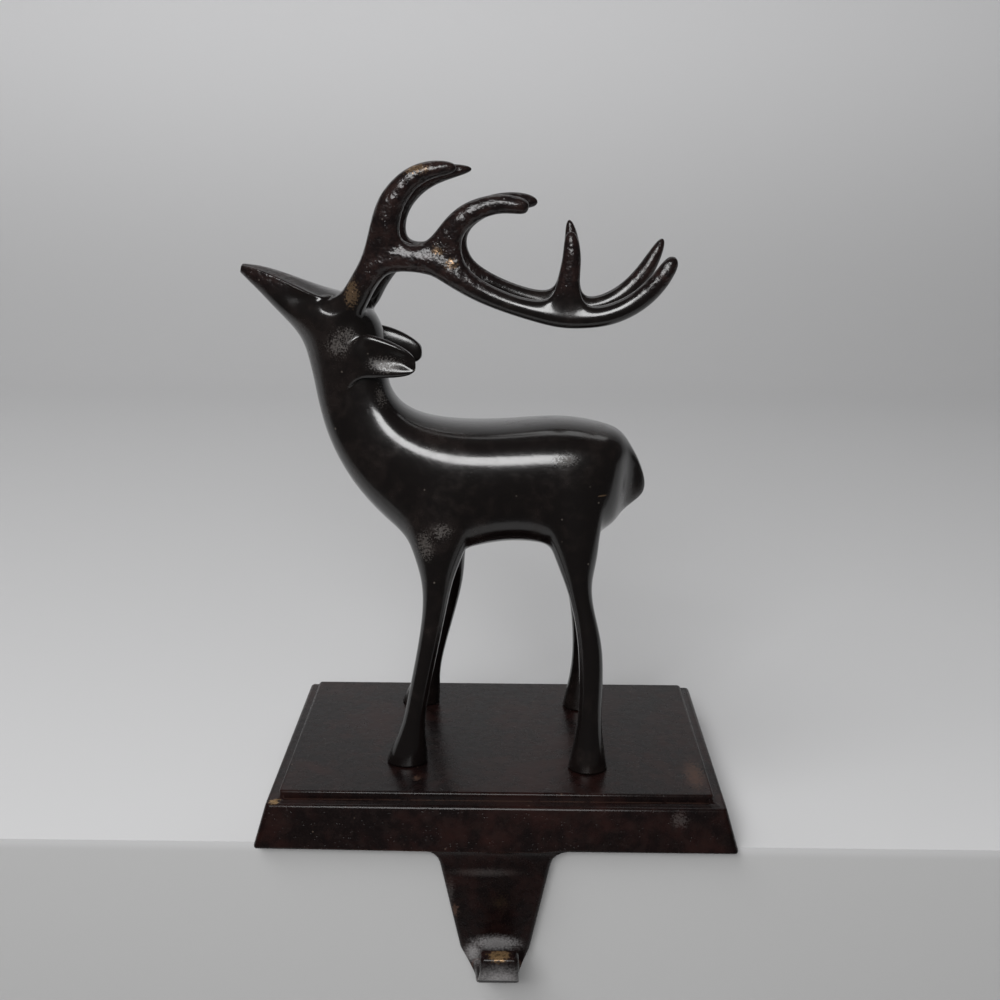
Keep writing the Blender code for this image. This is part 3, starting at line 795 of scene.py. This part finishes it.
def blend_colour(tree, share, first, second):
    values = {0: share, 6: colour(first), 7: colour(second)}
    return put(tree, "ShaderNodeMix", values, data_type="RGBA").outputs[2]


def blend_value(tree, share, first, second):
    return put(tree, "ShaderNodeMix", {0: share, 2: first, 3: second}, data_type="FLOAT").outputs[0]


def maths(tree, operation, first, second=0.0, clamp=False):
    return put(tree, "ShaderNodeMath", {0: first, 1: second}, operation=operation, use_clamp=clamp).outputs[0]


def rise(tree, value, low, high):
    """0 up to low, 1 from high, smooth between."""
    values = {"Value": value, "From Min": low, "From Max": high}
    return put(tree, "ShaderNodeMapRange", values, interpolation_type="SMOOTHSTEP").outputs["Result"]


def noise_of(tree, place, scale, detail=4.0, distortion=0.0):
    values = {"Vector": place, "Scale": scale, "Detail": detail, "Distortion": distortion}
    return put(tree, "ShaderNodeTexNoise", values).outputs["Fac"]


def new_group(name, inputs, output):
    """A shader node group that puts out one value, with its input and output nodes."""
    tree = bpy.data.node_groups.new(name, "ShaderNodeTree")
    for title, start in inputs.items():
        kind = "NodeSocketVector" if isinstance(start, tuple) else "NodeSocketFloat"
        tree.interface.new_socket(name=title, in_out="INPUT", socket_type=kind).default_value = start
    tree.interface.new_socket(name=output, in_out="OUTPUT", socket_type="NodeSocketFloat")
    return tree, tree.nodes.new("NodeGroupInput").outputs, tree.nodes.new("NodeGroupOutput").inputs[output]


def mottling_group():
    """Cloudy patches, large ones broken by small ones."""
    tree, given, mask = new_group("mottling", {"Place": (0, 0, 0), "Scale": 60.0, "Amount": 0.5}, "Mask")
    large = noise_of(tree, given["Place"], given["Scale"], 5.0, 0.6)
    fine = noise_of(tree, given["Place"], maths(tree, "MULTIPLY", given["Scale"], 6.0), 3.0)
    low = maths(tree, "SUBTRACT", 0.68, maths(tree, "MULTIPLY", given["Amount"], 0.36))
    tree.links.new(rise(tree, blend_value(tree, 0.35, large, fine), low, 0.68), mask)
    return tree


def rub_group():
    """A ragged worn spot round a centre, stretched along the axes."""
    inputs = {"Place": (0, 0, 0), "Centre": (0, 0, 0), "Stretch": (1, 1, 1)}
    inputs |= {"Radius": 0.003, "Grain": 900.0, "Ragged": 1.0}
    tree, given, mask = new_group("rub", inputs, "Mask")
    away = put(tree, "ShaderNodeVectorMath", {0: given["Place"], 1: given["Centre"]}, operation="SUBTRACT")
    away = put(tree, "ShaderNodeVectorMath", {0: away.outputs[0], 1: given["Stretch"]}, operation="DIVIDE")
    apart = put(tree, "ShaderNodeVectorMath", {0: away.outputs[0]}, operation="LENGTH").outputs["Value"]
    near = maths(tree, "SUBTRACT", 1.0, maths(tree, "DIVIDE", apart, given["Radius"]), clamp=True)
    grain = maths(tree, "SUBTRACT", noise_of(tree, given["Place"], given["Grain"], 5.0), 0.5)
    flecks = maths(tree, "MULTIPLY", maths(tree, "MULTIPLY", grain, 2.4), given["Ragged"])
    broken = maths(tree, "ADD", maths(tree, "MULTIPLY", near, 0.9), flecks)
    shown = maths(tree, "MULTIPLY", rise(tree, broken, 0.2, 0.95), rise(tree, near, 0.0, 0.6))
    tree.links.new(shown, mask)
    return tree


def casting_skin_group():
    """Height of a cast surface under lacquer: a soft orange peel with small pits."""
    tree, given, height = new_group("casting skin", {"Place": (0, 0, 0), "Peel": 0.3, "Pits": 0.5}, "Height")
    peel = maths(tree, "MULTIPLY", noise_of(tree, given["Place"], 380.0, 2.0), given["Peel"])
    cells = put(tree, "ShaderNodeTexVoronoi", {"Vector": given["Place"], "Scale": 950.0}).outputs["Distance"]
    chosen = rise(tree, noise_of(tree, given["Place"], 240.0, 2.0), 0.46, 0.58)
    hole = maths(tree, "SUBTRACT", 1.0, rise(tree, cells, 0.05, 0.33))
    pits = maths(tree, "MULTIPLY", maths(tree, "MULTIPLY", hole, chosen), given["Pits"])
    tree.links.new(maths(tree, "SUBTRACT", peel, pits), height)
    return tree


def specks_group():
    """Sparse small spots, left by dust or polish."""
    tree, given, mask = new_group("specks", {"Place": (0, 0, 0), "Scale": 420.0, "Amount": 0.5}, "Mask")
    cells = put(tree, "ShaderNodeTexVoronoi", {"Vector": given["Place"], "Scale": given["Scale"]})
    spot = maths(tree, "SUBTRACT", 1.0, rise(tree, cells.outputs["Distance"], 0.02, 0.16))
    pick = put(tree, "ShaderNodeSeparateColor", {0: cells.outputs["Color"]}).outputs[0]
    bare = maths(tree, "SUBTRACT", 1.0, maths(tree, "MULTIPLY", given["Amount"], 0.2))
    tree.links.new(maths(tree, "MULTIPLY", spot, maths(tree, "GREATER_THAN", pick, bare)), mask)
    return tree


def worn_edges_group():
    """Ragged wear along sharp edges, found by how far a rounded edge's normal turns."""
    tree, given, mask = new_group("worn edges", {"Place": (0, 0, 0), "Width": 0.0008, "Amount": 0.5}, "Mask")
    rounded = put(tree, "ShaderNodeBevel", {"Radius": given["Width"]}, samples=6).outputs["Normal"]
    plain = tree.nodes.new("ShaderNodeNewGeometry").outputs["Normal"]
    same = put(tree, "ShaderNodeVectorMath", {0: rounded, 1: plain}, operation="DOT_PRODUCT").outputs["Value"]
    edge = rise(tree, maths(tree, "SUBTRACT", 1.0, same), 0.02, 0.16)
    bare = maths(tree, "SUBTRACT", 0.7, maths(tree, "MULTIPLY", given["Amount"], 0.4))
    broken = rise(tree, noise_of(tree, given["Place"], 260.0, 5.0), bare, maths(tree, "ADD", bare, 0.12))
    tree.links.new(maths(tree, "MULTIPLY", edge, broken), mask)
    return tree


def use(tree, group, **values):
    """What a group puts out in a material, with its own values there."""
    node = tree.nodes.new("ShaderNodeGroup")
    node.node_tree = group
    for title, value in values.items():
        socket = node.inputs[title.capitalize()]
        if isinstance(value, bpy.types.NodeSocket):
            tree.links.new(value, socket)
        else:
            socket.default_value = value
    return node.outputs[0]


def rubs(tree, groups, place, spots, grain):
    """A mask of several worn spots."""
    return any_of(tree, [
        use(
            tree, groups["rub"],
            place=place, centre=centre, radius=radius, stretch=stretch, ragged=ragged, grain=grain,
        )
        for centre, radius, stretch, ragged in spots
    ])


def any_of(tree, masks):
    """The strongest of several masks."""
    strongest = masks[0]
    for mask in masks[1:]:
        strongest = maths(tree, "MAXIMUM", strongest, mask)
    return strongest


def new_lacquer(name):
    """An empty material with its shader and the place on the piece, in metres."""
    material = bpy.data.materials.new(name)
    material.use_nodes = True
    tree = material.node_tree
    place = tree.nodes.new("ShaderNodeTexCoord").outputs["Object"]
    return material, tree, tree.nodes["Principled BSDF"], place


def bump(tree, height, strength):
    values = {"Height": height, "Strength": strength, "Distance": SKIN_DEPTH}
    return put(tree, "ShaderNodeBump", values).outputs["Normal"]


def dark_bronze(groups):
    """The stag's glossy, nearly black lacquer, browner and rougher on the antlers, brassy where rubbed."""
    material, tree, shader, place = new_lacquer("glossy_dark_bronze")
    height = put(tree, "ShaderNodeSeparateXYZ", {0: place}).outputs["Z"]
    antlers = rise(tree, height, *ANTLER_TONE)
    clouds = use(tree, groups["mottling"], place=place, scale=55.0, amount=0.6)
    fine = use(tree, groups["mottling"], place=place, scale=260.0, amount=0.8)
    brass = maths(tree, "POWER", rubs(tree, groups, place, STAG_BRASS, 1600.0), 1.5)
    dusty = maths(tree, "POWER", rubs(tree, groups, place, STAG_DUST, 2200.0), 1.7)
    specks = use(tree, groups["specks"], place=place, scale=380.0, amount=0.25)
    base = blend_colour(tree, clouds, STAG_DARK, STAG_LIGHT)
    brown = blend_colour(tree, fine, ANTLER_DARK, ANTLER_BROWN)
    base = blend_colour(tree, antlers, base, brown)
    base = blend_colour(tree, maths(tree, "MULTIPLY", dusty, 0.18), base, PALE_DUST)
    base = blend_colour(tree, maths(tree, "MULTIPLY", specks, 0.3), base, STAG_SPECK)
    base = blend_colour(tree, maths(tree, "MULTIPLY", brass, 0.8), base, DULL_BRASS)
    tree.links.new(base, shader.inputs["Base Color"])
    rough = blend_value(tree, clouds, 0.20, 0.30)
    rough = blend_value(tree, antlers, rough, 0.27)
    rough = blend_value(tree, dusty, rough, 0.55)
    tree.links.new(rough, shader.inputs["Roughness"])
    tree.links.new(maths(tree, "MULTIPLY", brass, 0.8), shader.inputs["Metallic"])
    thin_coat = any_of(tree, [dusty, brass, antlers])
    tree.links.new(blend_value(tree, thin_coat, 0.5, 0.15), shader.inputs["Coat Weight"])
    shader.inputs["Coat Roughness"].default_value = STAG_COAT_ROUGHNESS
    shader.inputs["IOR"].default_value = STAG_IOR
    peel = blend_value(tree, antlers, 0.35, 4.6)
    pits = blend_value(tree, antlers, 0.12, 1.1)
    skin = use(tree, groups["casting skin"], place=place, peel=peel, pits=pits)
    tree.links.new(bump(tree, skin, 0.35), shader.inputs["Normal"])
    return material


def mottled_bronze(groups):
    """The plinth's satin lacquer: reddish brown clouds on near black, brass showing along its edges."""
    material, tree, shader, place = new_lacquer("satin_mottled_bronze")
    clouds = use(tree, groups["mottling"], place=place, scale=42.0, amount=0.7)
    fine = use(tree, groups["mottling"], place=place, scale=300.0, amount=0.7)
    worn = use(tree, groups["worn edges"], place=place, width=0.0007, amount=0.9)
    brass = rubs(tree, groups, place, PLINTH_BRASS, 1100.0)
    # Painted sheen: pale metal on the hook's bend and the finger's front stands for their highlight
    painted_sheen = maths(tree, "POWER", rubs(tree, groups, place, PLINTH_PAINTED_SHEEN, 1600.0), 1.8)
    haze = rubs(tree, groups, place, PLINTH_HAZE, 2200.0)
    rust = rubs(tree, groups, place, PLINTH_RUST, 1400.0)
    specks = use(tree, groups["specks"], place=place, scale=420.0, amount=0.3)
    base = blend_colour(tree, clouds, PLINTH_DARK, PLINTH_RED)
    for mask, share, shown in (
        (fine, 0.25, PLINTH_MOTTLE),
        (specks, 0.25, PLINTH_SPECK),
        (worn, 0.6, EDGE_WEAR),
        (rust, 0.35, THIN_RUST),
        (haze, 0.12, GREY_HAZE),
        (painted_sheen, 0.9, PAINTED_SHEEN_METAL),
    ):
        base = blend_colour(tree, maths(tree, "MULTIPLY", mask, share), base, shown)
    base = blend_colour(tree, brass, base, BRIGHT_BRASS)
    tree.links.new(base, shader.inputs["Base Color"])
    rough = blend_value(tree, fine, blend_value(tree, clouds, 0.25, 0.29), 0.32)
    tree.links.new(blend_value(tree, any_of(tree, [rust, painted_sheen]), rough, 0.48), shader.inputs["Roughness"])
    bare = any_of(tree, [brass, maths(tree, "MULTIPLY", painted_sheen, 0.8), maths(tree, "MULTIPLY", worn, 0.4)])
    tree.links.new(bare, shader.inputs["Metallic"])
    thin_coat = any_of(tree, [rust, painted_sheen, brass])
    tree.links.new(blend_value(tree, thin_coat, 0.05, 0.03), shader.inputs["Coat Weight"])
    shader.inputs["Coat Roughness"].default_value = PLINTH_COAT_ROUGHNESS
    shader.inputs["IOR"].default_value = PLINTH_IOR
    skin = use(tree, groups["casting skin"], place=place, peel=0.6, pits=0.5)
    tree.links.new(bump(tree, skin, 0.3), shader.inputs["Normal"])
    return material


def dress(name, mesh, material, node):
    """The piece that stands for a solid, with its own material, hung on the root body while the solid is
    hidden.
    """
    piece = bpy.data.objects.new(name, mesh)
    bpy.context.scene.collection.objects.link(piece)
    mesh.materials.append(material)
    mesh.shade_smooth()
    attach(piece, "root")
    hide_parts(node)
    return piece


def pale_floor():
    """A wide pale step under the plinth, which drops behind the hook and sweeps up as a backdrop, its front
    painted darker as painted shade and its sweep lighter upwards as painted light.
    """
    profile = [(STAGE_FRONT, STAGE_DROP), (STEP_FRONT, STAGE_DROP)]
    profile += [(STEP_FRONT, FLOOR_TOP), (SWEEP_START, FLOOR_TOP)]
    for i in range(1, SWEEP_STEPS + 1):
        angle = math.pi / 2 * i / SWEEP_STEPS
        profile.append((
            SWEEP_START + SWEEP_RADIUS * math.sin(angle),
            FLOOR_TOP + SWEEP_RADIUS * (1 - math.cos(angle)),
        ))
    profile.append((SWEEP_START + SWEEP_RADIUS, STAGE_HEIGHT))
    sheet = bmesh.new()
    rows = [[sheet.verts.new((x, y, z)) for y, z in profile] for x in (-STAGE_REACH, STAGE_REACH)]
    for i in range(len(profile) - 1):
        sheet.faces.new((rows[0][i], rows[1][i], rows[1][i + 1], rows[0][i + 1]))
    mesh = bpy.data.meshes.new("pale_floor")
    sheet.to_mesh(mesh)
    sheet.free()
    mesh.shade_smooth()
    mesh.set_sharp_from_angle(angle=SHARP_ANGLE)
    floor = bpy.data.objects.new("pale_floor", mesh)
    bpy.context.scene.collection.objects.link(floor)
    paint = bpy.data.materials.new("pale_floor")
    paint.use_nodes = True
    tree = paint.node_tree
    place = tree.nodes.new("ShaderNodeTexCoord").outputs["Object"]
    height = put(tree, "ShaderNodeSeparateXYZ", {0: place}).outputs["Z"]
    # Painted shade darkens the step's front, and painted light brightens the sweep upwards to the wall
    painted_shade_and_light = blend_colour(tree, rise(tree, height, *STEP_SHADE_HEIGHTS), SHADED_FRONT_PAINT, TOP_PAINT)
    painted_shade_and_light = blend_colour(tree, rise(tree, height, *WALL_LIGHT_HEIGHTS), painted_shade_and_light, LIT_WALL_PAINT)
    shader = tree.nodes["Principled BSDF"]
    tree.links.new(painted_shade_and_light, shader.inputs["Base Color"])
    shader.inputs["Roughness"].default_value = PAINT_ROUGHNESS
    mesh.materials.append(paint)


def soft_light(name, direction, distance, size, lean, power, mirrored):
    """A white area light that faces the figure from a direction in degrees, unseen by the camera."""
    data = bpy.data.lights.new(name, "AREA")
    data.shape = "RECTANGLE"
    data.size, data.size_y = size
    data.energy = power
    round_angle, up_angle = (math.radians(angle) for angle in direction)
    out = Vector((
        math.sin(round_angle) * math.cos(up_angle),
        -math.cos(round_angle) * math.cos(up_angle),
        math.sin(up_angle),
    ))
    light = bpy.data.objects.new(name, data)
    turn = out.to_track_quat("Z", "Y").to_matrix() @ Matrix.Rotation(math.radians(lean), 3, "Z")
    light.matrix_world = Matrix.Translation(FIGURE_MIDDLE + out * distance) @ turn.to_4x4()
    light.visible_camera = False
    light.visible_glossy = mirrored
    bpy.context.scene.collection.objects.link(light)


def light_studio():
    world = bpy.data.worlds.new("studio")
    world.use_nodes = True
    seen = world.node_tree.nodes.new("ShaderNodeLightPath").outputs["Is Camera Ray"]
    brightness = blend_value(world.node_tree, seen, WORLD_LIGHT, WORLD_SEEN)
    world.node_tree.links.new(brightness, world.node_tree.nodes["Background"].inputs["Strength"])
    world.node_tree.nodes["Background"].inputs["Color"].default_value = (1, 1, 1, 1)
    bpy.context.scene.world = world
    for name, *rest in LIGHTS:
        soft_light(name, *rest)
    bpy.context.scene.view_settings.view_transform = "Standard"


def place_camera():
    """The photograph's view: 16 degrees down, from a little right of the middle."""
    data = bpy.data.cameras.new("camera")
    data.lens = LENS
    data.sensor_width = SENSOR_WIDTH
    data.clip_start = NEAREST_SEEN
    camera = bpy.data.objects.new("camera", data)
    level = Matrix.Rotation(math.pi / 2, 3, "X")
    turn = Matrix.Rotation(VIEW_YAW, 3, "Z") @ Matrix.Rotation(VIEW_PITCH, 3, "X") @ level
    turn = turn @ Matrix.Rotation(VIEW_ROLL, 3, "Z")
    camera.matrix_world = Matrix.Translation(VIEW_PLACE) @ turn.to_4x4()
    bpy.context.scene.collection.objects.link(camera)
    bpy.context.scene.camera = camera


def main():
    groups = {
        "mottling": mottling_group(),
        "rub": rub_group(),
        "casting skin": casting_skin_group(),
        "specks": specks_group(),
        "worn edges": worn_edges_group(),
    }
    figure = divided(stag_mesh())
    press(figure, EYE_PLACE, EYE_REACH, EYE_DEPTH)
    dress("cast_stag", figure, dark_bronze(groups), "stag")
    plinth, finish = plinth_mesh(), mottled_bronze(groups)
    plinth = dress("cast_plinth_with_hook", plinth, finish, "plinth_with_hook")
    edges = plinth.modifiers.new("eased edges", "BEVEL")
    edges.width = PLINTH_CORNER
    edges.segments = EDGE_SEGMENTS
    edges.limit_method = "WEIGHT"
    edges.use_clamp_overlap = False
    plinth.data.set_sharp_from_angle(angle=SHARP_ANGLE)
    pale_floor()
    light_studio()
    place_camera()


main()
